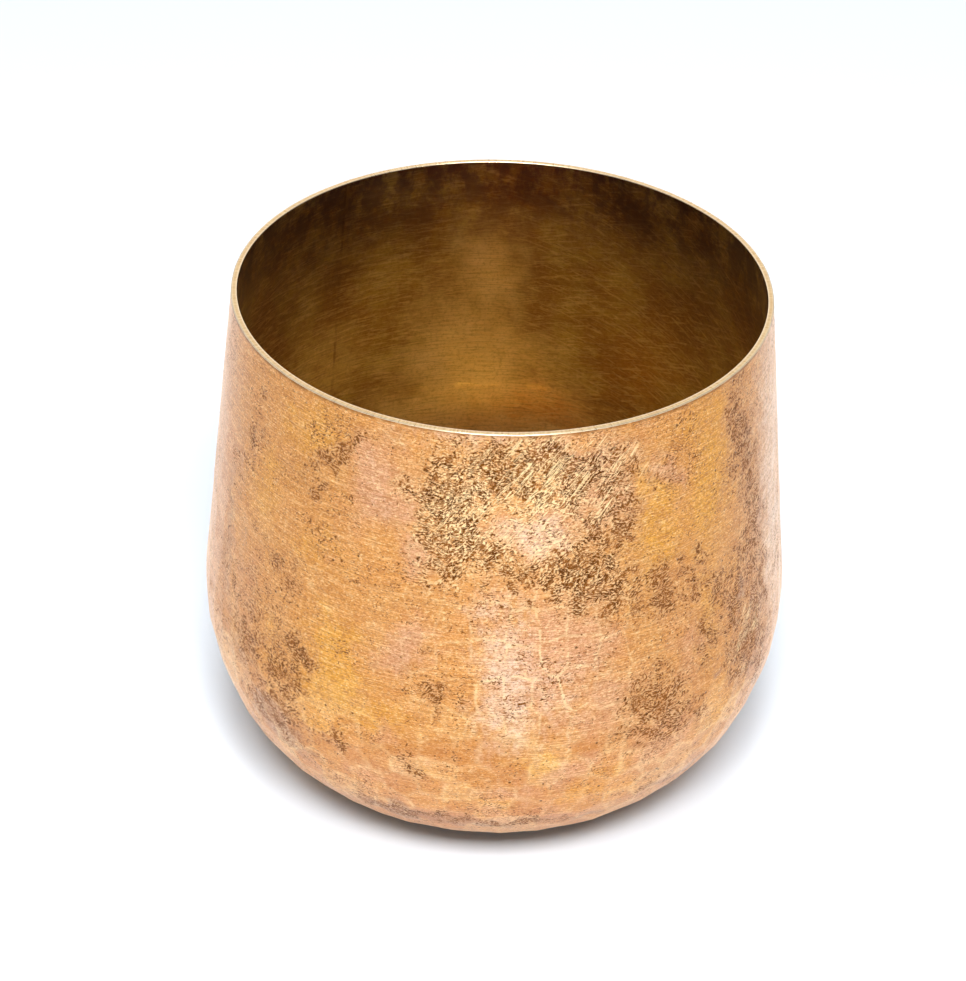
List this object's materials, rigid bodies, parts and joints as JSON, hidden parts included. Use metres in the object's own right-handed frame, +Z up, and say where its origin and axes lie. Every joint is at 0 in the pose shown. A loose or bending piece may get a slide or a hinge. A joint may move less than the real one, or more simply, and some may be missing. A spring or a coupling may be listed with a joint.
{
  "type": "hammered brass pot",
  "caption": "Wide-mouthed, thin-walled hammered brass pot: a slightly conical sheet wall brazed to a rounded bowl with a small flat underside.",
  "frame": {"origin": "centre of the flat underside, on the surface that the pot stands on", "axes": "+Z up along the vessel's axis, through the middle of the mouth; the side seam lies 130 degrees counter-clockwise from +X"},
  "size_m": [0.1, 0.1, 0.09],
  "materials": {
    "brass_sheet": "satin, hand-hammered and brushed, with brown stains",
    "braze_metal": "filed flush with the sheet"
  },
  "bodies": {
    "root": {"side_wall": "brass_sheet", "base_bowl": "brass_sheet", "side_seam_braze": "braze_metal", "base_seam_braze": "braze_metal"}
  },
  "joints": []
}
